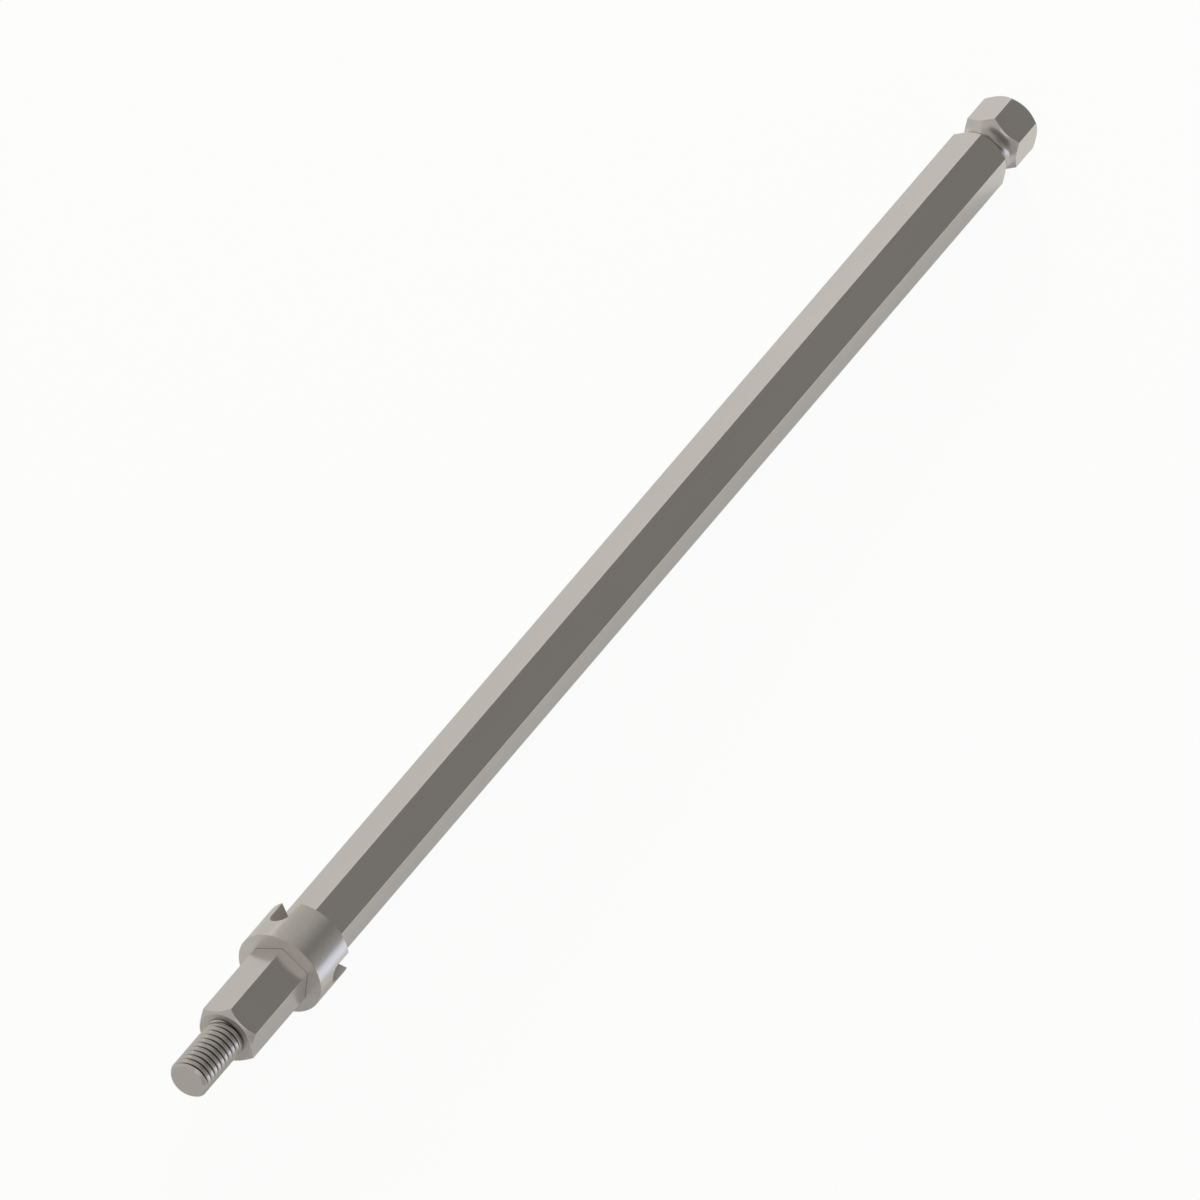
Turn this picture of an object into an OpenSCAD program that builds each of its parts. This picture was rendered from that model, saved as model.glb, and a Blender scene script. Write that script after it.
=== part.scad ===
// Drive shaft: a drawn hexagon bar with a turned thread stub at one end, a turned
// retaining groove at the other, and a slotted drive collar pressed on near the thread.
// The shaft lies along X with a flat of the bar upward. The origin is on its axis, at the
// shoulder where the thread stub leaves the hexagon, and +X runs towards the grooved end.

/* [Hexagon bar] */
// Width across the flats
hex_af = 11.2; // [10:0.1:16]
// Length of the hexagon, from the thread shoulder to the grooved end
hex_length = 286.5; // [100:0.5:600]
// How far the turned chamfer at each end cuts in from the corners
corner_chamfer = 1.2; // [0.4:0.1:1.6]
// Angle of the end chamfers, measured from the axis
chamfer_angle = 45; // [30:1:60]

/* [Thread stub] */
// Major diameter of the thread
thread_d = 7.84; // [6:0.01:9]
// Length of the stub, from the shoulder to its tip
thread_length = 13.5; // [6:0.1:40]
// Lead-in chamfer at the tip
thread_chamfer = 0.55; // [0.2:0.05:1.2]

/* [Drive collar] */
// Outer diameter
collar_d = 17.5; // [15:0.1:30]
// Width along the shaft
collar_width = 10; // [8:0.1:20]
// Distance from the thread shoulder to the collar's plain face
collar_from_shoulder = 19.6; // [5:0.1:60]
// Gap on each side between the collar's hexagon bore and the bar
collar_fit = 0.02; // [0.01:0.01:0.2]
// Width of the drive slots
slot_width = 4; // [2:0.1:5]
// Depth of the drive slots, from the collar's slotted face to their round ends
slot_depth = 5.8; // [3:0.1:7]
// Number of drive slots, each over a flat of the bar
slot_count = 3; // [2, 3, 6]

/* [Retaining groove] */
// Diameter at the bottom of the groove
groove_d = 9.7; // [8:0.1:10.5]
// Radius of the groove's round section
groove_radius = 2.75; // [1.5:0.05:4]
// Distance from the grooved end back to the middle of the groove
groove_from_end = 10; // [7:0.1:20]

/* [Hidden] */
$fn = 96;

hex_sides = 6;
// Cutting tools reach this far past what they cut
overcut = 1;

bar_corner_r = hex_af / 2 / cos(180 / hex_sides);
// The collar's bore clears the bar by the same gap at every flat
bore_corner_r = (hex_af / 2 + collar_fit) / cos(180 / hex_sides);

// The blank is turned to this radius, just outside the corners, before its ends are chamfered
blank_r = bar_corner_r + overcut;
end_face_r = bar_corner_r - corner_chamfer;
chamfer_run = (blank_r - end_face_r) / tan(chamfer_angle);

groove_centre_r = groove_d / 2 + groove_radius;
groove_open_r = max(bar_corner_r, groove_centre_r) + overcut;

// Stands a shape that was drawn along Z on the shaft's axis, with a flat upward
module along_shaft() {
  rotate([0, 90, 0])
    children();
}

// Hexagon prism along Z with its flats facing X
module hexagon(corner_r, length) {
  rotate(180 / hex_sides)
    cylinder(r = corner_r, h = length, $fn = hex_sides);
}

// Turned outline that cuts the corners of both ends of the bar to a chamfer
module chamfered_blank() {
  rotate_extrude()
    polygon([
      [0, 0],
      [end_face_r, 0],
      [blank_r, chamfer_run],
      [blank_r, hex_length - chamfer_run],
      [end_face_r, hex_length],
      [0, hex_length]
    ]);
}

// Ring cut by the groove: a round bottom, open straight outward from the middle of its round
module groove_cutter() {
  translate([0, 0, hex_length - groove_from_end])
    rotate_extrude() {
      translate([groove_centre_r, 0])
        circle(r = groove_radius);
      translate([groove_centre_r, -groove_radius])
        square([groove_open_r - groove_centre_r, 2 * groove_radius]);
    }
}

// Stub at its major diameter, with the lead-in chamfer at its tip
module thread_stub() {
  plain_length = thread_length - thread_chamfer;
  rotate([180, 0, 0]) {
    translate([0, 0, -overcut])
      cylinder(d = thread_d, h = plain_length + overcut);
    translate([0, 0, plain_length])
      cylinder(d1 = thread_d, d2 = thread_d - 2 * thread_chamfer, h = thread_chamfer);
  }
}

// Slot through the collar wall, open at the slotted face, with a round end
module drive_slot() {
  end_z = collar_width - slot_depth + slot_width / 2;
  reach = collar_d / 2 + overcut;
  translate([0, 0, end_z])
    rotate([0, 90, 0])
      cylinder(d = slot_width, h = reach);
  translate([0, -slot_width / 2, end_z])
    cube([reach, slot_width, collar_width - end_z + overcut]);
}

module hex_shaft() {
  color("#B4AFA8")
    along_shaft() {
      difference() {
        intersection() {
          hexagon(bar_corner_r, hex_length);
          chamfered_blank();
        }
        groove_cutter();
      }
      thread_stub();
    }
}

module drive_collar() {
  color("#A8A59E")
    translate([collar_from_shoulder, 0, 0])
      along_shaft()
        difference() {
          cylinder(d = collar_d, h = collar_width);
          translate([0, 0, -overcut])
            hexagon(bore_corner_r, collar_width + 2 * overcut);
          for (slot = [0 : slot_count - 1])
            rotate(slot * 360 / slot_count)
              drive_slot();
        }
}

hex_shaft();
drive_collar();
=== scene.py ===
"""Looks of a hexagonal drive shaft, built around its packed CAD frame in Blender 4.5."""

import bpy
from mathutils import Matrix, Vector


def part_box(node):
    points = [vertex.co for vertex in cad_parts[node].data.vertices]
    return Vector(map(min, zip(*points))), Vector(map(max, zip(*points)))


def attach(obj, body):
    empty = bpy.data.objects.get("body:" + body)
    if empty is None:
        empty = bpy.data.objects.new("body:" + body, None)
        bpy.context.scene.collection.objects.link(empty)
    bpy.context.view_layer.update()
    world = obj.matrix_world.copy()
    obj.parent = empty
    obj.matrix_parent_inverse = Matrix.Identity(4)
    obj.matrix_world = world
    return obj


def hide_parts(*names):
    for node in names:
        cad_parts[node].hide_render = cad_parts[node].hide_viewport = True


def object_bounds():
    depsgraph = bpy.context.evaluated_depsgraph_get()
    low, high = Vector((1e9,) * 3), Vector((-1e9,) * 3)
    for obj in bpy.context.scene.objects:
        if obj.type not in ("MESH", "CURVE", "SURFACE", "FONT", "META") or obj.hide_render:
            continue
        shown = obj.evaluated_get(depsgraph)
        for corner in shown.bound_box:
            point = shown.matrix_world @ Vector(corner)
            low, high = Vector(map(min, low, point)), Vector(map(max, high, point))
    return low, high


bl_info = {
    "name": "Hexagonal drive shaft",
    "version": (1, 0, 0),
    "blender": (4, 5, 0),
    "location": "View3D > Sidebar > Drive shaft",
    "description": "Builds a drawn hexagon bar with a thread, a groove and a slotted collar",
    "category": "Object",
}

import math

import bmesh
import bpy
from bpy.props import FloatProperty, FloatVectorProperty, IntProperty, PointerProperty
from mathutils import Matrix, Vector

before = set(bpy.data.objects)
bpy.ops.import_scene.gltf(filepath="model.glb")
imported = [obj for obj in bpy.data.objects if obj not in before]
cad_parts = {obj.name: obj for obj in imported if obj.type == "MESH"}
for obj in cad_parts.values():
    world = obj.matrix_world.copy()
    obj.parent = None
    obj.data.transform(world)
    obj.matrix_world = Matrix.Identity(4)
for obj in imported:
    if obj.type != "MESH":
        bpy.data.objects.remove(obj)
CAD_BOX = [list(corner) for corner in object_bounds()]
BAR_LOW, BAR_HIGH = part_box("hex_shaft")
COLLAR_LOW, COLLAR_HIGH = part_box("drive_collar")

# Shapes are modelled in millimetres, where the mesh tools are at ease, and then set to metres
MM = 0.001
HEX_SIDES = 6
AXIS = Vector((1.0, 0.0, 0.0))
CENTRE = Vector((0.0, 0.0, 0.0))
# Facets in a full turn, a whole number to each flat of the hexagon
TURN_STEPS = 192
THREAD_STEPS = 96
GROOVE_STEPS = 48
# Tools reach this far past what they cut
OVERCUT = 1.0
# Points nearer than this are merged
WELD = 0.0001
# The same along the helix, where rounding adds up
SEAM_WELD = 0.001
# A face whose normal lies nearer the axis than this runs across the shaft
ACROSS_SHAFT = 0.99
# Edges that turn by more than this are broken, and stay crisp in the shading
CREASE = math.radians(24)
BREAK_SEGMENTS = 2

# Range that most values of a noise lie in
NOISE_LOW, NOISE_HIGH = 0.3, 0.7

WHITE = "#FFFFFF"
# Metres from the middle of the shaft to each lamp
LAMP_DISTANCE = 1.6

# Places of the bar's finishes in its list of materials
DRAWN, TURNED, BAR_FACED, THREADED = range(4)
# Places of the collar's finishes
RING, RING_FACED, MILLED = range(3)


def linear(hex_colour):
    """Turns an sRGB hex colour into linear RGB."""
    channels = [int(hex_colour[place : place + 2], 16) / 255 for place in (1, 3, 5)]
    return tuple(c / 12.92 if c <= 0.04045 else ((c + 0.055) / 1.055) ** 2.4 for c in channels)


class HexBarSizes(bpy.types.PropertyGroup):
    """Sizes of the hexagon bar, its chamfers and its groove."""

    across_flats: FloatProperty(
        name="Across flats",
        description="Width of the hexagon from flat to flat",
        default=BAR_HIGH.z - BAR_LOW.z,
        unit="LENGTH",
    )
    far_end: FloatProperty(
        name="Grooved end",
        description="Distance from the thread shoulder to the grooved end",
        default=BAR_HIGH.x,
        unit="LENGTH",
    )
    corner_chamfer: FloatProperty(
        name="End chamfer",
        description="How far the turned chamfer at each end cuts in from the corners",
        default=1.2 * MM,
        unit="LENGTH",
    )
    groove_diameter: FloatProperty(
        name="Groove diameter",
        description="Diameter at the bottom of the retaining groove",
        default=9.7 * MM,
        unit="LENGTH",
    )
    groove_radius: FloatProperty(
        name="Groove radius",
        description="Radius of the groove's round section",
        default=2.75 * MM,
        unit="LENGTH",
    )
    groove_from_end: FloatProperty(
        name="Groove from end",
        description="Distance from the grooved end back to the middle of the groove",
        default=10.0 * MM,
        unit="LENGTH",
    )
    edge_break: FloatProperty(
        name="Edge break",
        description="Width of the small bevel along the bar's edges",
        default=0.07 * MM,
        unit="LENGTH",
    )


class ThreadSizes(bpy.types.PropertyGroup):
    """Sizes of the thread stub."""

    tip: FloatProperty(
        name="Tip",
        description="Place of the stub's tip on the shaft's axis",
        default=BAR_LOW.x,
        unit="LENGTH",
    )
    major_diameter: FloatProperty(
        name="Major diameter",
        description="Diameter over the thread's crests",
        default=7.84 * MM,
        unit="LENGTH",
    )
    pitch: FloatProperty(
        name="Pitch",
        description="Distance from crest to crest",
        default=1.25 * MM,
        unit="LENGTH",
    )
    depth: FloatProperty(
        name="Depth",
        description="Depth of the thread from crest to root",
        default=0.42 * MM,
        unit="LENGTH",
    )
    root_width: FloatProperty(
        name="Root width",
        description="Width of the flat at the bottom of the thread",
        default=0.14 * MM,
        unit="LENGTH",
    )
    flank_angle: FloatProperty(
        name="Flank angle",
        description="Angle of each flank from the line square to the axis",
        default=math.radians(30),
        subtype="ANGLE",
    )
    chamfer: FloatProperty(
        name="Lead-in chamfer",
        description="Chamfer at the stub's tip",
        default=0.55 * MM,
        unit="LENGTH",
    )


class CollarSizes(bpy.types.PropertyGroup):
    """Sizes of the slotted drive collar."""

    plain_face: FloatProperty(
        name="Plain face",
        description="Place of the collar's plain face on the shaft's axis",
        default=COLLAR_LOW.x,
        unit="LENGTH",
    )
    width: FloatProperty(
        name="Width",
        description="Width of the collar along the shaft",
        default=COLLAR_HIGH.x - COLLAR_LOW.x,
        unit="LENGTH",
    )
    diameter: FloatProperty(
        name="Diameter",
        description="Outer diameter of the collar",
        default=17.5 * MM,
        unit="LENGTH",
    )
    bore_gap: FloatProperty(
        name="Bore gap",
        description="Gap between the hexagon bore and each flat of the bar",
        default=0.02 * MM,
        unit="LENGTH",
    )
    slot_width: FloatProperty(
        name="Slot width",
        description="Width of each drive slot",
        default=4.0 * MM,
        unit="LENGTH",
    )
    slot_depth: FloatProperty(
        name="Slot depth",
        description="Depth of each drive slot to its round end",
        default=5.8 * MM,
        unit="LENGTH",
    )
    slot_count: IntProperty(
        name="Slots",
        description="Number of drive slots, each over a flat of the bar",
        default=3,
        min=1,
        max=6,
    )
    edge_break: FloatProperty(
        name="Edge break",
        description="Width of the small bevel along the collar's edges",
        default=0.045 * MM,
        unit="LENGTH",
    )


class SteelFinish(bpy.types.PropertyGroup):
    """Colours and polish of the steels."""

    drawn_colour: FloatVectorProperty(
        name="Drawn bar",
        description="Colour of the bright drawn flats",
        default=linear("#D6D3D1"),
        subtype="COLOR",
        min=0.0,
        max=1.0,
    )
    turned_colour: FloatVectorProperty(
        name="Turned ends",
        description="Colour of the chamfers and the groove",
        default=linear("#C7C4C1"),
        subtype="COLOR",
        min=0.0,
        max=1.0,
    )
    ring_colour: FloatVectorProperty(
        name="Collar",
        description="Colour of the turned collar",
        default=linear("#D5D2CF"),
        subtype="COLOR",
        min=0.0,
        max=1.0,
    )
    # Painted shade: this colour is set darker than the turned ends' so that the end faces look
    # shaded; their duller finish is the faced roughness
    faced_shade_colour: FloatVectorProperty(
        name="End faces",
        description="Colour of the bar's end faces, which are duller than its sides",
        default=linear("#C0BDBA"),
        subtype="COLOR",
        min=0.0,
        max=1.0,
    )
    # Painted light: this colour is set lighter than the collar's so that the walls of the slots,
    # which lie in shade, look lit
    milled_painted_light_colour: FloatVectorProperty(
        name="Slots",
        description="Colour of the milled walls of the drive slots",
        default=linear("#DEDBD8"),
        subtype="COLOR",
        min=0.0,
        max=1.0,
    )
    # Painted shade: a near-black colour that stands for the shadow deep in the thread's roots
    root_shade_colour: FloatVectorProperty(
        name="Thread roots",
        description="Colour of the shade painted into the thread's roots",
        default=linear("#100F0E"),
        subtype="COLOR",
        min=0.0,
        max=1.0,
    )
    drawn_roughness: FloatProperty(
        name="Drawn roughness",
        description="Roughness of the drawn flats",
        default=0.22,
        min=0.0,
        max=1.0,
        subtype="FACTOR",
    )
    turned_roughness: FloatProperty(
        name="Turned roughness",
        description="Roughness of the chamfers, the groove and the thread",
        default=0.22,
        min=0.0,
        max=1.0,
        subtype="FACTOR",
    )
    ring_roughness: FloatProperty(
        name="Collar roughness",
        description="Roughness of the collar's round side",
        default=0.25,
        min=0.0,
        max=1.0,
        subtype="FACTOR",
    )
    faced_roughness: FloatProperty(
        name="Faced roughness",
        description="Roughness of the faces across the shaft and of the slots",
        default=0.4,
        min=0.0,
        max=1.0,
        subtype="FACTOR",
    )


class StudioSettings(bpy.types.PropertyGroup):
    """Floor, lamps and camera."""

    floor_colour: FloatVectorProperty(
        name="Floor",
        description="Colour of the floor",
        default=linear("#F4F2EB"),
        subtype="COLOR",
        min=0.0,
        max=1.0,
    )
    key_power: FloatProperty(
        name="Key lamp",
        description="Power of the soft lamp on the left, which lights the floor",
        default=24.0,
        unit="POWER",
    )
    top_power: FloatProperty(
        name="Top lamp",
        description="Power of the soft lamp above and behind the camera",
        default=0.9,
        unit="POWER",
    )
    far_power: FloatProperty(
        name="Far lamp",
        description="Power of the low lamp that draws the bright line on the round faces",
        default=1.7,
        unit="POWER",
    )
    lens: FloatProperty(
        name="Lens",
        description="Focal length, long enough for an almost parallel view",
        default=1500.0,
        unit="CAMERA",
    )


def add_node(tree, kind, settings=None, sockets=None):
    """Adds a node, sets its options, and links or fills each named socket."""
    node = tree.nodes.new(kind)
    for option, value in (settings or {}).items():
        setattr(node, option, value)
    for socket, value in (sockets or {}).items():
        if isinstance(value, bpy.types.NodeSocket):
            tree.links.new(value, node.inputs[socket])
        else:
            node.inputs[socket].default_value = value
    return node


def new_finish(name):
    """Starts a material and returns it with its empty node tree."""
    finish = bpy.data.materials.new(name)
    finish.use_nodes = True
    finish.node_tree.nodes.clear()
    return finish, finish.node_tree


def rgba(colour):
    """Adds full opacity to a linear colour."""
    return (*colour, 1.0)


def drawn_bar_steel():
    """Bright cold-drawn steel: an even satin grey with faint lines along the bar from the die."""
    look = bpy.context.scene.shaft_finish
    finish, tree = new_finish("cold_drawn_steel_bright")
    place = add_node(tree, "ShaderNodeTexCoord").outputs["Object"]
    # Die lines are under 0.05 mm apart: they are drawn at 0.35 mm, so that they show
    across, along = 1 / (0.35 * MM), 1 / (70 * MM)
    stretched = add_node(
        tree,
        "ShaderNodeMapping",
        {"vector_type": "POINT"},
        {"Vector": place, "Scale": (along, across, across)},
    ).outputs["Vector"]
    lines = add_node(
        tree,
        "ShaderNodeTexNoise",
        {"noise_dimensions": "3D"},
        {"Vector": stretched, "Scale": 1.0, "Detail": 3.0, "Roughness": 0.6},
    ).outputs["Fac"]
    # Patches of slightly different brightness, some 25 mm long, from handling and oil
    patches = add_node(
        tree,
        "ShaderNodeTexNoise",
        {"noise_dimensions": "3D"},
        {"Vector": place, "Scale": 1 / (25 * MM), "Detail": 2.0},
    ).outputs["Fac"]
    shade = add_node(
        tree,
        "ShaderNodeMapRange",
        None,
        {"Value": patches, "From Min": NOISE_LOW, "From Max": NOISE_HIGH},
    ).outputs["Result"]
    patch_shade = 0.965
    darker = tuple(c * patch_shade for c in look.drawn_colour)
    colour = add_node(
        tree,
        "ShaderNodeMix",
        {"data_type": "RGBA"},
        {"Factor": shade, "A": rgba(darker), "B": rgba(look.drawn_colour)},
    ).outputs["Result"]
    polish_spread = 0.03
    polish = add_node(
        tree,
        "ShaderNodeMapRange",
        None,
        {
            "Value": lines,
            "From Min": NOISE_LOW,
            "From Max": NOISE_HIGH,
            "To Min": look.drawn_roughness - polish_spread,
            "To Max": look.drawn_roughness + polish_spread,
        },
    ).outputs["Result"]
    relief = add_node(
        tree,
        "ShaderNodeBump",
        None,
        {"Height": lines, "Strength": 0.25, "Distance": 0.004 * MM},
    ).outputs["Normal"]
    steel = add_node(
        tree,
        "ShaderNodeBsdfPrincipled",
        None,
        {"Base Color": colour, "Metallic": 1.0, "Roughness": polish, "Normal": relief},
    )
    add_node(tree, "ShaderNodeOutputMaterial", None, {"Surface": steel.outputs["BSDF"]})
    return finish


def turned_steel(name, colour, roughness):
    """Finely turned steel: rings from the tool's feed, round on a side and concentric on a face."""
    finish, tree = new_finish(name)
    place = add_node(tree, "ShaderNodeTexCoord").outputs["Object"]
    parts = add_node(tree, "ShaderNodeSeparateXYZ", None, {"Vector": place})
    off_axis = add_node(
        tree,
        "ShaderNodeCombineXYZ",
        None,
        {"Y": parts.outputs["Y"], "Z": parts.outputs["Z"]},
    ).outputs["Vector"]
    radius = add_node(
        tree, "ShaderNodeVectorMath", {"operation": "LENGTH"}, {0: off_axis}
    ).outputs["Value"]
    # Distance that the tool has gone along the side or in over the face
    travel = add_node(
        tree, "ShaderNodeMath", {"operation": "ADD"}, {0: parts.outputs["X"], 1: radius}
    ).outputs["Value"]
    # A finishing feed is about 0.08 mm a turn: the rings are drawn at 0.18 mm, so that they show
    rings = add_node(
        tree,
        "ShaderNodeTexNoise",
        {"noise_dimensions": "1D"},
        {"W": travel, "Scale": 1 / (0.18 * MM), "Detail": 3.0, "Roughness": 0.65},
    ).outputs["Fac"]
    # The metal's grain is under 0.1 mm: it is drawn at 0.3 mm, so that it shows
    grain = add_node(
        tree,
        "ShaderNodeTexNoise",
        {"noise_dimensions": "3D"},
        {"Vector": place, "Scale": 1 / (0.3 * MM), "Detail": 2.0, "Roughness": 0.7},
    ).outputs["Fac"]
    shade = add_node(
        tree,
        "ShaderNodeMapRange",
        None,
        {"Value": grain, "From Min": NOISE_LOW, "From Max": NOISE_HIGH},
    ).outputs["Result"]
    grain_shade = 0.94
    darker = tuple(c * grain_shade for c in colour)
    tint = add_node(
        tree,
        "ShaderNodeMix",
        {"data_type": "RGBA"},
        {"Factor": shade, "A": rgba(darker), "B": rgba(colour)},
    ).outputs["Result"]
    polish_spread = 0.02
    polish = add_node(
        tree,
        "ShaderNodeMapRange",
        None,
        {
            "Value": rings,
            "From Min": NOISE_LOW,
            "From Max": NOISE_HIGH,
            "To Min": roughness - polish_spread,
            "To Max": roughness + polish_spread,
        },
    ).outputs["Result"]
    feed_marks = add_node(
        tree,
        "ShaderNodeBump",
        None,
        {"Height": rings, "Strength": 0.025, "Distance": 0.003 * MM},
    ).outputs["Normal"]
    relief = add_node(
        tree,
        "ShaderNodeBump",
        None,
        {"Height": grain, "Strength": 0.5, "Distance": 0.006 * MM, "Normal": feed_marks},
    ).outputs["Normal"]
    steel = add_node(
        tree,
        "ShaderNodeBsdfPrincipled",
        None,
        {"Base Color": tint, "Metallic": 1.0, "Roughness": polish, "Normal": relief},
    )
    add_node(tree, "ShaderNodeOutputMaterial", None, {"Surface": steel.outputs["BSDF"]})
    return finish


def threaded_steel():
    """Die-cut thread: bright flanks that fall off to roots painted near-black, a painted shade for
    the shadow deep in the grooves.
    """
    look = bpy.context.scene.shaft_finish
    sizes = bpy.context.scene.shaft_thread
    finish, tree = new_finish("die_cut_thread_steel")
    place = add_node(tree, "ShaderNodeTexCoord").outputs["Object"]
    off_axis = add_node(
        tree,
        "ShaderNodeVectorMath",
        {"operation": "MULTIPLY"},
        {0: place, 1: (0.0, 1.0, 1.0)},
    ).outputs["Vector"]
    radius = add_node(
        tree, "ShaderNodeVectorMath", {"operation": "LENGTH"}, {0: off_axis}
    ).outputs["Value"]
    crest = sizes.major_diameter / 2
    root = crest - sizes.depth
    # Shares of the thread's depth, from its root, over which the painted shade in the roots fades
    # out
    dark_below, bright_above = 0.2, 0.42
    root_shade_fade = add_node(
        tree,
        "ShaderNodeMapRange",
        {"interpolation_type": "SMOOTHSTEP"},
        {
            "Value": radius,
            "From Min": root + dark_below * sizes.depth,
            "From Max": root + bright_above * sizes.depth,
        },
    ).outputs["Result"]
    # Painted shade: the roots take the near-black colour and the flanks the turned colour
    colour = add_node(
        tree,
        "ShaderNodeMix",
        {"data_type": "RGBA"},
        {"Factor": root_shade_fade, "A": rgba(look.root_shade_colour), "B": rgba(look.turned_colour)},
    ).outputs["Result"]
    # Torn grain of a die-cut flank, 0.15 mm across
    grain = add_node(
        tree,
        "ShaderNodeTexNoise",
        {"noise_dimensions": "3D"},
        {"Vector": place, "Scale": 1 / (0.15 * MM), "Detail": 2.0},
    ).outputs["Fac"]
    relief = add_node(
        tree,
        "ShaderNodeBump",
        None,
        {"Height": grain, "Strength": 0.2, "Distance": 0.006 * MM},
    ).outputs["Normal"]
    steel = add_node(
        tree,
        "ShaderNodeBsdfPrincipled",
        None,
        {
            "Base Color": colour,
            "Metallic": 1.0,
            "Roughness": look.turned_roughness,
            "Normal": relief,
        },
    )
    add_node(tree, "ShaderNodeOutputMaterial", None, {"Surface": steel.outputs["BSDF"]})
    return finish


def lathe(outline, steps, finish=0):
    """Spins an outline of places along the axis and radii into a closed turned shape."""
    shape = bmesh.new()
    points = [shape.verts.new((place, 0.0, radius)) for place, radius in outline]
    edges = [shape.edges.new(pair) for pair in zip(points, points[1:])]
    bmesh.ops.spin(
        shape,
        geom=points + edges,
        cent=CENTRE,
        axis=AXIS,
        angle=math.tau,
        steps=steps,
        use_merge=True,
    )
    bmesh.ops.remove_doubles(shape, verts=shape.verts, dist=WELD)
    bmesh.ops.recalc_face_normals(shape, faces=shape.faces)
    for face in shape.faces:
        face.material_index = finish
    return shape


def face_ends(shape, finish):
    """Gives the flat faces across the axis the finish that facing leaves."""
    for face in shape.faces:
        if abs(face.normal.x) > ACROSS_SHAFT:
            face.material_index = finish


def cut_off(shape, point, direction, finish=0):
    """Cuts away what lies beyond a plane and closes the cut with flat faces."""
    cut = bmesh.ops.bisect_plane(
        shape,
        geom=shape.verts[:] + shape.edges[:] + shape.faces[:],
        dist=WELD,
        plane_co=point,
        plane_no=direction,
        clear_outer=True,
    )
    rim = [part for part in cut["geom_cut"] if isinstance(part, bmesh.types.BMEdge)]
    bmesh.ops.edgeloop_fill(shape, edges=rim, mat_nr=finish)


def break_edges(shape, width):
    """Bevels every edge that turns by more than the crease angle."""
    sharp = [edge for edge in shape.edges if edge.calc_face_angle(0.0) > CREASE]
    bmesh.ops.bevel(
        shape,
        geom=sharp,
        offset=width,
        offset_type="OFFSET",
        affect="EDGES",
        segments=BREAK_SEGMENTS,
        profile=0.5,
        material=-1,
        clamp_overlap=False,
    )


def to_mesh(shape, name, finishes):
    """Closes a bmesh and returns it as a mesh with its materials."""
    mesh = bpy.data.meshes.new(name)
    for finish in finishes:
        mesh.materials.append(finish)
    bmesh.ops.recalc_face_normals(shape, faces=shape.faces)
    shape.to_mesh(mesh)
    shape.free()
    return mesh


def combine(mesh, tool, operation):
    """Joins, cuts or trims a mesh with a tool's mesh by an exact boolean."""
    body = bpy.data.objects.new("body", mesh)
    other = bpy.data.objects.new("tool", tool)
    for helper in (body, other):
        bpy.context.scene.collection.objects.link(helper)
    boolean = body.modifiers.new("combine", "BOOLEAN")
    boolean.operation = operation
    boolean.solver = "EXACT"
    boolean.object = other
    bpy.context.view_layer.update()
    depsgraph = bpy.context.evaluated_depsgraph_get()
    result = bpy.data.meshes.new_from_object(body.evaluated_get(depsgraph))
    result.name = mesh.name
    for helper in (body, other):
        bpy.data.objects.remove(helper)
    for spent in (mesh, tool):
        bpy.data.meshes.remove(spent)
    if not result.polygons:
        raise RuntimeError(f"the boolean left nothing of {result.name}")
    return result


def place_piece(mesh, name, node):
    """Sets a finished mesh to metres, smooths it between its edges and puts it on the frame."""
    mesh.transform(Matrix.Scale(MM, 4))
    mesh.shade_smooth()
    mesh.set_sharp_from_angle(angle=CREASE)
    mesh.name = name
    piece = bpy.data.objects.new(name, mesh)
    bpy.context.scene.collection.objects.link(piece)
    normals = piece.modifiers.new("even_normals", "WEIGHTED_NORMAL")
    normals.keep_sharp = True
    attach(piece, "root")
    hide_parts(node)
    return piece


def groove_round(sizes):
    """Place and radius of the middle of the groove's round section, and the round's own radius."""
    radius = sizes.groove_radius / MM
    middle = (sizes.far_end - sizes.groove_from_end) / MM
    return middle, sizes.groove_diameter / 2 / MM + radius, radius


def groove_sweep(sizes, reach):
    """Angle of the groove's round from its bottom out to a radius on the bar."""
    _, centre_radius, radius = groove_round(sizes)
    return math.acos(max(centre_radius - reach, 0.0) / radius)


def bar_outline(sizes):
    """Outline of the turned blank: the end chamfers and the round groove."""
    corner = sizes.across_flats / 2 / math.cos(math.pi / HEX_SIDES) / MM
    blank = corner + OVERCUT
    face = corner - sizes.corner_chamfer / MM
    run = blank - face
    end = sizes.far_end / MM
    middle, centre_radius, radius = groove_round(sizes)
    outline = [(0.0, 0.0), (0.0, face), (run, blank), (middle - radius, blank)]
    for step in range(GROOVE_STEPS + 1):
        turn = groove_sweep(sizes, corner) * (2 * step / GROOVE_STEPS - 1)
        place = middle + radius * math.sin(turn)
        outline.append((place, centre_radius - radius * math.cos(turn)))
    outline += [(middle + radius, blank), (end - run, blank), (end, face), (end, 0.0)]
    return outline


def fit_groove(shape, sizes):
    """Slides the groove's rings along its round until the outer ones lie in the six flats."""
    middle, centre_radius, radius = groove_round(sizes)
    flat = sizes.across_flats / 2 / MM
    sector = math.tau / HEX_SIDES
    corner_sweep = groove_sweep(sizes, flat / math.cos(sector / 2))
    for vert in shape.verts:
        spoke = Vector((vert.co.x - middle, centre_radius - math.hypot(vert.co.y, vert.co.z)))
        if abs(spoke.length - radius) > WELD:
            continue
        around = math.atan2(vert.co.y, vert.co.z)
        from_flat = (around + sector / 2) % sector - sector / 2
        lip_sweep = groove_sweep(sizes, flat / math.cos(from_flat))
        turn = math.atan2(spoke.x, spoke.y) * lip_sweep / corner_sweep
        reach = centre_radius - radius * math.cos(turn)
        place = middle + radius * math.sin(turn)
        vert.co = (place, reach * math.sin(around), reach * math.cos(around))


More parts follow.
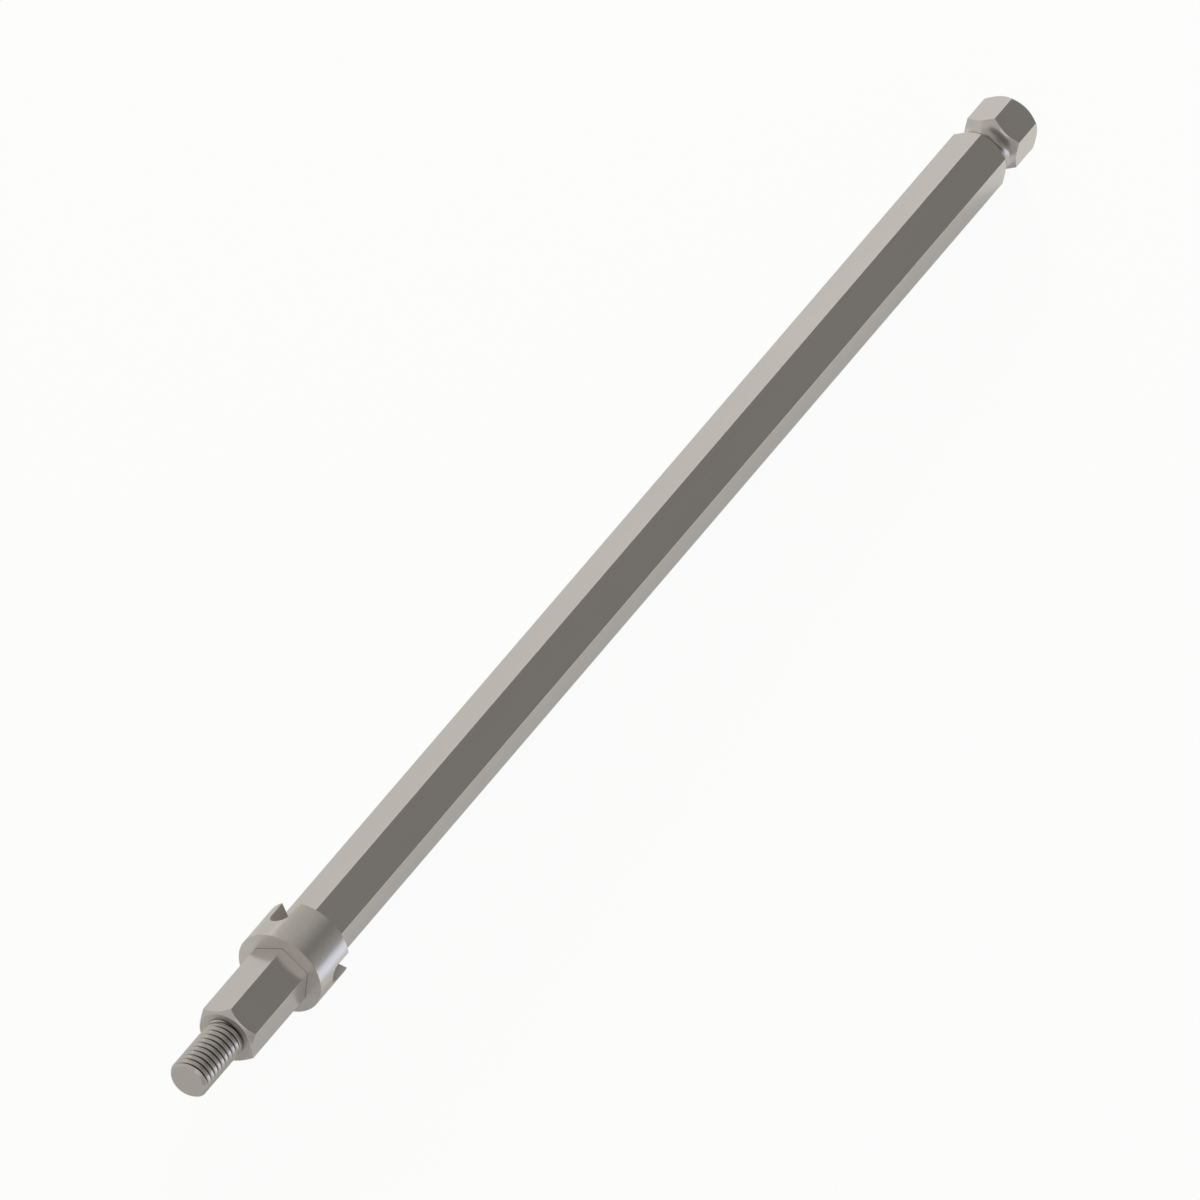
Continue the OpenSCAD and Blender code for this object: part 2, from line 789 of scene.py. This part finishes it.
def hexagon_blank(sizes):
    """Turned blank with six flats cut on it."""
    shape = lathe(bar_outline(sizes), TURN_STEPS, TURNED)
    face_ends(shape, BAR_FACED)
    fit_groove(shape, sizes)
    for side in range(HEX_SIDES):
        turn = math.tau * side / HEX_SIDES
        outward = Vector((0.0, math.sin(turn), math.cos(turn)))
        cut_off(shape, outward * (sizes.across_flats / 2 / MM), outward, DRAWN)
    break_edges(shape, sizes.edge_break / MM)
    return shape


def thread_helix(sizes):
    """Screw-shaped rod: one pitch of the thread's section, spun along the axis."""
    pitch = sizes.pitch / MM
    root_radius = (sizes.major_diameter / 2 - sizes.depth) / MM
    half_root = sizes.root_width / 2 / MM
    # The flanks run on to a sharp crest, which the stub's own diameter trims
    flank = pitch / 2 - half_root
    peak = root_radius + flank / math.tan(sizes.flank_angle)
    section = [
        (0.0, root_radius),
        (half_root, root_radius),
        (half_root + flank, peak),
        (pitch - half_root, root_radius),
        (pitch, root_radius),
    ]
    tip = sizes.tip / MM
    # Starting this many turns before the tip puts the crests where the photograph has them
    lead_turns = 3.3
    start = tip - lead_turns * pitch
    # Enough turns beyond the stub's own to cover the lead and run on into the bar
    spare_turns = 6
    turns = math.ceil(-tip / pitch) + spare_turns
    shape = bmesh.new()
    points = [shape.verts.new((start + place, 0.0, radius)) for place, radius in section]
    edges = [shape.edges.new(pair) for pair in zip(points, points[1:])]
    bmesh.ops.spin(
        shape,
        geom=points + edges,
        cent=CENTRE,
        axis=AXIS,
        dvec=AXIS * (pitch / THREAD_STEPS),
        angle=math.tau * turns,
        steps=THREAD_STEPS * turns,
    )
    bmesh.ops.remove_doubles(shape, verts=shape.verts, dist=SEAM_WELD)
    bmesh.ops.recalc_face_normals(shape, faces=shape.faces)
    for face in shape.faces:
        face.material_index = THREADED
    cut_off(shape, AXIS * (tip - pitch), -AXIS, THREADED)
    cut_off(shape, AXIS * (2 * pitch), AXIS, THREADED)
    return shape


def thread_blank(sizes):
    """Stub at its major diameter with the lead-in chamfer, reaching a little into the bar."""
    tip = sizes.tip / MM
    radius = sizes.major_diameter / 2 / MM
    chamfer = sizes.chamfer / MM
    outline = [
        (tip, 0.0),
        (tip, radius - chamfer),
        (tip + chamfer, radius),
        (OVERCUT, radius),
        (OVERCUT, 0.0),
    ]
    shape = lathe(outline, TURN_STEPS, TURNED)
    face_ends(shape, BAR_FACED)
    return shape


def collar_ring(sizes, across_flats):
    """Ring with a hexagon bore, standing on its plain face."""
    shape = bmesh.new()
    # A circle is drawn round Z from its first corner on Y: this stands it across the shaft
    across = Matrix.Rotation(math.pi / 2, 4, "Y")
    across.translation = AXIS * (sizes.plain_face / MM)
    bore_flat = (across_flats / 2 + sizes.bore_gap) / MM
    bore_corner = bore_flat / math.cos(math.pi / HEX_SIDES)
    bmesh.ops.create_circle(shape, segments=HEX_SIDES, radius=bore_corner, matrix=across)
    bmesh.ops.subdivide_edges(
        shape, edges=shape.edges[:], cuts=TURN_STEPS // HEX_SIDES - 1, use_grid_fill=False
    )
    radius = sizes.diameter / 2 / MM
    bmesh.ops.create_circle(shape, segments=TURN_STEPS, radius=radius, matrix=across)
    washer = bmesh.ops.bridge_loops(shape, edges=shape.edges[:])["faces"]
    lifted = bmesh.ops.extrude_face_region(shape, geom=washer, use_keep_orig=True)["geom"]
    moved = [part for part in lifted if isinstance(part, bmesh.types.BMVert)]
    bmesh.ops.translate(shape, verts=moved, vec=AXIS * (sizes.width / MM))
    bmesh.ops.recalc_face_normals(shape, faces=shape.faces)
    for face in shape.faces:
        face.material_index = RING
    face_ends(shape, RING_FACED)
    return shape


def slot_tool(sizes, turn):
    """Milling tool's sweep: a half-round end drawn out past the slotted face."""
    shape = bmesh.new()
    half = sizes.slot_width / 2 / MM
    face = (sizes.plain_face + sizes.width) / MM
    end_centre = face - sizes.slot_depth / MM + half
    bmesh.ops.create_circle(shape, cap_ends=True, segments=TURN_STEPS // 2, radius=half)
    cut = bmesh.ops.bisect_plane(
        shape,
        geom=shape.verts[:] + shape.edges[:] + shape.faces[:],
        dist=WELD,
        plane_co=CENTRE,
        plane_no=AXIS,
        clear_outer=True,
    )
    straight = [part for part in cut["geom_cut"] if isinstance(part, bmesh.types.BMEdge)]
    drawn_out = bmesh.ops.extrude_edge_only(shape, edges=straight)["geom"]
    moved = [part for part in drawn_out if isinstance(part, bmesh.types.BMVert)]
    bmesh.ops.translate(shape, verts=moved, vec=AXIS * (face - end_centre + OVERCUT))
    lifted = bmesh.ops.extrude_face_region(shape, geom=shape.faces[:], use_keep_orig=True)["geom"]
    moved = [part for part in lifted if isinstance(part, bmesh.types.BMVert)]
    reach = sizes.diameter / 2 / MM + OVERCUT
    bmesh.ops.translate(shape, verts=moved, vec=(0.0, 0.0, reach))
    bmesh.ops.translate(shape, verts=shape.verts, vec=AXIS * end_centre)
    bmesh.ops.rotate(shape, verts=shape.verts, cent=CENTRE, matrix=Matrix.Rotation(turn, 3, AXIS))
    for part in shape.faces:
        part.material_index = MILLED
    return shape


class SHAFT_OT_hex_bar(bpy.types.Operator):
    """Build the hexagon bar with its chamfers, retaining groove and thread stub"""

    bl_idname = "shaft.hex_bar"
    bl_label = "Hexagon bar"

    def execute(self, context):
        scene = context.scene
        look = scene.shaft_finish
        finishes = [
            drawn_bar_steel(),
            turned_steel("turned_steel_ends", look.turned_colour, look.turned_roughness),
            turned_steel("faced_steel_bar", look.faced_shade_colour, look.faced_roughness),
            threaded_steel(),
        ]
        bar = to_mesh(hexagon_blank(scene.shaft_bar), "hexagon", finishes)
        stub = to_mesh(thread_blank(scene.shaft_thread), "stub", finishes)
        helix = to_mesh(thread_helix(scene.shaft_thread), "helix", finishes)
        stub = combine(stub, helix, "INTERSECT")
        bar = combine(bar, stub, "UNION")
        piece = place_piece(bar, "hexagon_bar", "hex_shaft")
        return {"FINISHED"}


class SHAFT_OT_drive_collar(bpy.types.Operator):
    """Build the turned collar with its hexagon bore and round-ended drive slots"""

    bl_idname = "shaft.drive_collar"
    bl_label = "Drive collar"

    def execute(self, context):
        scene = context.scene
        look = scene.shaft_finish
        sizes = scene.shaft_collar
        finishes = [
            turned_steel("turned_steel_collar", look.ring_colour, look.ring_roughness),
            turned_steel("faced_steel_collar", look.ring_colour, look.faced_roughness),
            # The milled walls are as fine as a faced one, and a little lighter, which is painted
            # light in the shaded slots
            turned_steel("milled_steel_slots", look.milled_painted_light_colour, look.faced_roughness),
        ]
        ring = to_mesh(collar_ring(sizes, scene.shaft_bar.across_flats), "ring", finishes)
        for slot in range(sizes.slot_count):
            # The first slot lies underneath, opposite the upper flat
            turn = math.pi + math.tau * slot / sizes.slot_count
            tool = to_mesh(slot_tool(sizes, turn), "slot", finishes)
            ring = combine(ring, tool, "DIFFERENCE")
        shape = bmesh.new()
        shape.from_mesh(ring)
        break_edges(shape, sizes.edge_break / MM)
        shape.to_mesh(ring)
        shape.free()
        piece = place_piece(ring, "slotted_collar", "drive_collar")
        return {"FINISHED"}


def studio_floor(settings):
    """Pale floor that the collar and the grooved end rest on."""
    finish, tree = new_finish("matt_paper_white")
    paper = add_node(
        tree, "ShaderNodeBsdfDiffuse", None, {"Color": rgba(settings.floor_colour)}
    ).outputs["BSDF"]
    white = add_node(
        tree, "ShaderNodeEmission", None, {"Color": rgba(linear(WHITE)), "Strength": 1.0}
    ).outputs["Emission"]
    ray = add_node(tree, "ShaderNodeLightPath").outputs
    mirrored = add_node(
        tree,
        "ShaderNodeMath",
        {"operation": "MAXIMUM"},
        {0: ray["Is Glossy Ray"], 1: ray["Is Transmission Ray"]},
    ).outputs["Value"]
    # The rest of each share is the paper's own shade, which keeps the shadow
    seen_share, mirrored_share = 0.94, 0.26
    seen = add_node(
        tree,
        "ShaderNodeMath",
        {"operation": "MULTIPLY"},
        {0: ray["Is Camera Ray"], 1: seen_share},
    ).outputs["Value"]
    share = add_node(
        tree,
        "ShaderNodeMath",
        {"operation": "MULTIPLY_ADD"},
        {0: mirrored, 1: mirrored_share, 2: seen},
    ).outputs["Value"]
    mixed = add_node(
        tree, "ShaderNodeMixShader", None, {"Fac": share, 1: paper, 2: white}
    ).outputs["Shader"]
    add_node(tree, "ShaderNodeOutputMaterial", None, {"Surface": mixed})

    # The shaft rests on its collar and on the flat below its grooved end
    collar = bpy.context.scene.shaft_collar
    bar = bpy.context.scene.shaft_bar
    near = Vector((collar.plain_face + collar.width - collar.slot_depth, 0.0, -collar.diameter / 2))
    far = Vector((bar.far_end, 0.0, -bar.across_flats / 2))
    tilt = math.atan2(far.z - near.z, far.x - near.x)
    half_size = 6.0
    clearance = 0.02 * MM
    shape = bmesh.new()
    bmesh.ops.create_grid(shape, x_segments=1, y_segments=1, size=half_size)
    bmesh.ops.rotate(
        shape, verts=shape.verts, cent=CENTRE, matrix=Matrix.Rotation(-tilt, 3, "Y")
    )
    bmesh.ops.translate(shape, verts=shape.verts, vec=near - Vector((0.0, 0.0, clearance)))
    mesh = bpy.data.meshes.new("floor")
    mesh.materials.append(finish)
    shape.to_mesh(mesh)
    shape.free()
    floor = bpy.data.objects.new("floor", mesh)
    bpy.context.scene.collection.objects.link(floor)


def soft_lamp(name, towards, size, power, colour, mirrored):
    """Soft lamp that faces the middle of the shaft, and shows in the steel or not."""
    aim = Vector((sum(x) / 2 for x in zip(*CAD_BOX)))
    light = bpy.data.lights.new(name, "AREA")
    light.shape = "RECTANGLE"
    light.size, light.size_y = size
    light.energy = power
    light.color = linear(colour)
    lamp = bpy.data.objects.new(name, light)
    lamp.visible_glossy = mirrored
    direction = Vector(towards).normalized()
    lamp.location = aim + direction * LAMP_DISTANCE
    lamp.rotation_euler = direction.to_track_quat("Z", "Y").to_euler()
    bpy.context.scene.collection.objects.link(lamp)


def studio_room():
    """Pale room: lighter on the left, dark overhead and in a patch high beyond the far end."""
    world = bpy.data.worlds.new("studio_room")
    bpy.context.scene.world = world
    world.use_nodes = True
    tree = world.node_tree
    tree.nodes.clear()
    towards = add_node(tree, "ShaderNodeTexCoord").outputs["Generated"]
    dark_patch = Vector((0.635, -0.14, 0.760)).normalized()
    nearness = add_node(
        tree,
        "ShaderNodeVectorMath",
        {"operation": "DOT_PRODUCT"},
        {0: towards, 1: dark_patch},
    ).outputs["Value"]
    angle = add_node(
        tree, "ShaderNodeMath", {"operation": "ARCCOSINE"}, {0: nearness}
    ).outputs["Value"]
    half_turns = add_node(
        tree, "ShaderNodeMath", {"operation": "DIVIDE"}, {0: angle, 1: math.pi}
    ).outputs["Value"]
    levels = add_node(tree, "ShaderNodeValToRGB", None, {"Fac": half_turns})
    # Brightness of the room at each angle in degrees from the middle of the dark patch
    darkest, brightest = 0.20, 0.58
    between = {10: 0.29, 20: 0.365, 30: 0.425, 40: 0.455, 58: 0.47, 80: brightest}
    warm = linear("#FFFBF4")
    ramp = levels.color_ramp
    ramp.elements[0].color = rgba(darkest * c for c in warm)
    ramp.elements[-1].color = rgba(brightest * c for c in warm)
    for degrees, level in between.items():
        ramp.elements.new(degrees / 180).color = rgba(level * c for c in warm)
    parts = add_node(tree, "ShaderNodeSeparateXYZ", None, {"Vector": towards}).outputs
    # The left of the room, along +Y, is lighter than its right
    slope = 0.22
    sideways = add_node(
        tree, "ShaderNodeMath", {"operation": "MULTIPLY_ADD"}, {0: parts["Y"], 1: slope, 2: 1.0}
    ).outputs["Value"]
    # A dark gap overhead: where it starts and is full upward, and where it ends along the shaft
    gap_low, gap_high = 0.45, 0.85
    gap_full, gap_edge = 0.25, 0.55
    gap_depth = 0.55
    high = add_node(
        tree,
        "ShaderNodeMapRange",
        {"interpolation_type": "SMOOTHSTEP"},
        {"Value": parts["Z"], "From Min": gap_low, "From Max": gap_high},
    ).outputs["Result"]
    from_middle = add_node(
        tree, "ShaderNodeMath", {"operation": "ABSOLUTE"}, {0: parts["X"]}
    ).outputs["Value"]
    gap = add_node(
        tree,
        "ShaderNodeMapRange",
        {"interpolation_type": "SMOOTHSTEP"},
        {
            "Value": from_middle,
            "From Min": gap_full,
            "From Max": gap_edge,
            "To Min": -gap_depth,
            "To Max": 0.0,
        },
    ).outputs["Result"]
    overhead = add_node(
        tree, "ShaderNodeMath", {"operation": "MULTIPLY_ADD"}, {0: high, 1: gap, 2: 1.0}
    ).outputs["Value"]
    strength = add_node(
        tree, "ShaderNodeMath", {"operation": "MULTIPLY"}, {0: sideways, 1: overhead}
    ).outputs["Value"]
    room = add_node(
        tree,
        "ShaderNodeBackground",
        None,
        {"Color": levels.outputs["Color"], "Strength": strength},
    ).outputs["Background"]
    add_node(tree, "ShaderNodeOutputWorld", None, {"Surface": room})


def studio_camera(settings):
    """Camera at the photograph's angle, with a lens long enough for an almost parallel view."""
    towards = Vector((-0.63021, 0.09409, 0.77068))
    right = Vector((0.50536, -0.70386, 0.49919))
    aim = Vector((0.135505, -0.000071, -0.00056))
    distance = 9.1914
    data = bpy.data.cameras.new("camera")
    data.lens = settings.lens
    data.sensor_width = 36.0
    data.sensor_fit = "HORIZONTAL"
    data.clip_end = 100.0
    camera = bpy.data.objects.new("camera", data)
    up = towards.cross(right)
    turn = Matrix((right, up, towards)).transposed()
    camera.matrix_world = Matrix.Translation(aim + towards * distance) @ turn.to_4x4()
    bpy.context.scene.collection.objects.link(camera)
    bpy.context.scene.camera = camera


class SHAFT_OT_studio(bpy.types.Operator):
    """Set up the floor, the lamps, the room and the camera"""

    bl_idname = "shaft.studio"
    bl_label = "Studio"

    def execute(self, context):
        settings = context.scene.shaft_studio
        studio_floor(settings)
        studio_room()
        soft_lamp(
            "key_lamp",
            towards=(0.55, 0.68, 0.30),
            size=(0.5, 0.5),
            power=settings.key_power,
            colour=WHITE,
            mirrored=False,
        )
        soft_lamp(
            "top_lamp",
            towards=(-0.63, -0.09, 0.77),
            size=(0.9, 0.9),
            power=settings.top_power,
            colour=WHITE,
            mirrored=True,
        )
        soft_lamp(
            "far_lamp",
            towards=(0.635, -0.755, 0.205),
            size=(0.9, 0.65),
            power=settings.far_power,
            colour="#DFE8FF",
            mirrored=True,
        )
        studio_camera(settings)
        context.scene.view_settings.view_transform = "Standard"
        return {"FINISHED"}


class SHAFT_PT_pieces(bpy.types.Panel):
    """Lists the shaft's pieces and their sizes"""

    bl_idname = "SHAFT_PT_pieces"
    bl_label = "Drive shaft"
    bl_space_type = "VIEW_3D"
    bl_region_type = "UI"
    bl_category = "Drive shaft"

    def draw(self, context):
        column = self.layout.column()
        for operator in (SHAFT_OT_hex_bar, SHAFT_OT_drive_collar, SHAFT_OT_studio):
            column.operator(operator.bl_idname)
        for name in GROUPS:
            group = getattr(context.scene, name)
            box = column.box()
            box.label(text=GROUPS[name].__doc__)
            for size in GROUPS[name].__annotations__:
                box.prop(group, size)


GROUPS = {
    "shaft_bar": HexBarSizes,
    "shaft_thread": ThreadSizes,
    "shaft_collar": CollarSizes,
    "shaft_finish": SteelFinish,
    "shaft_studio": StudioSettings,
}
CLASSES = (
    *GROUPS.values(),
    SHAFT_OT_hex_bar,
    SHAFT_OT_drive_collar,
    SHAFT_OT_studio,
    SHAFT_PT_pieces,
)


def register():
    for kind in CLASSES:
        bpy.utils.register_class(kind)
    for name, group in GROUPS.items():
        setattr(bpy.types.Scene, name, PointerProperty(type=group))


def unregister():
    for name in GROUPS:
        delattr(bpy.types.Scene, name)
    for kind in reversed(CLASSES):
        bpy.utils.unregister_class(kind)


def main():
    register()
    bpy.ops.shaft.hex_bar()
    bpy.ops.shaft.drive_collar()
    bpy.ops.shaft.studio()


if __name__ == "__main__":
    main()
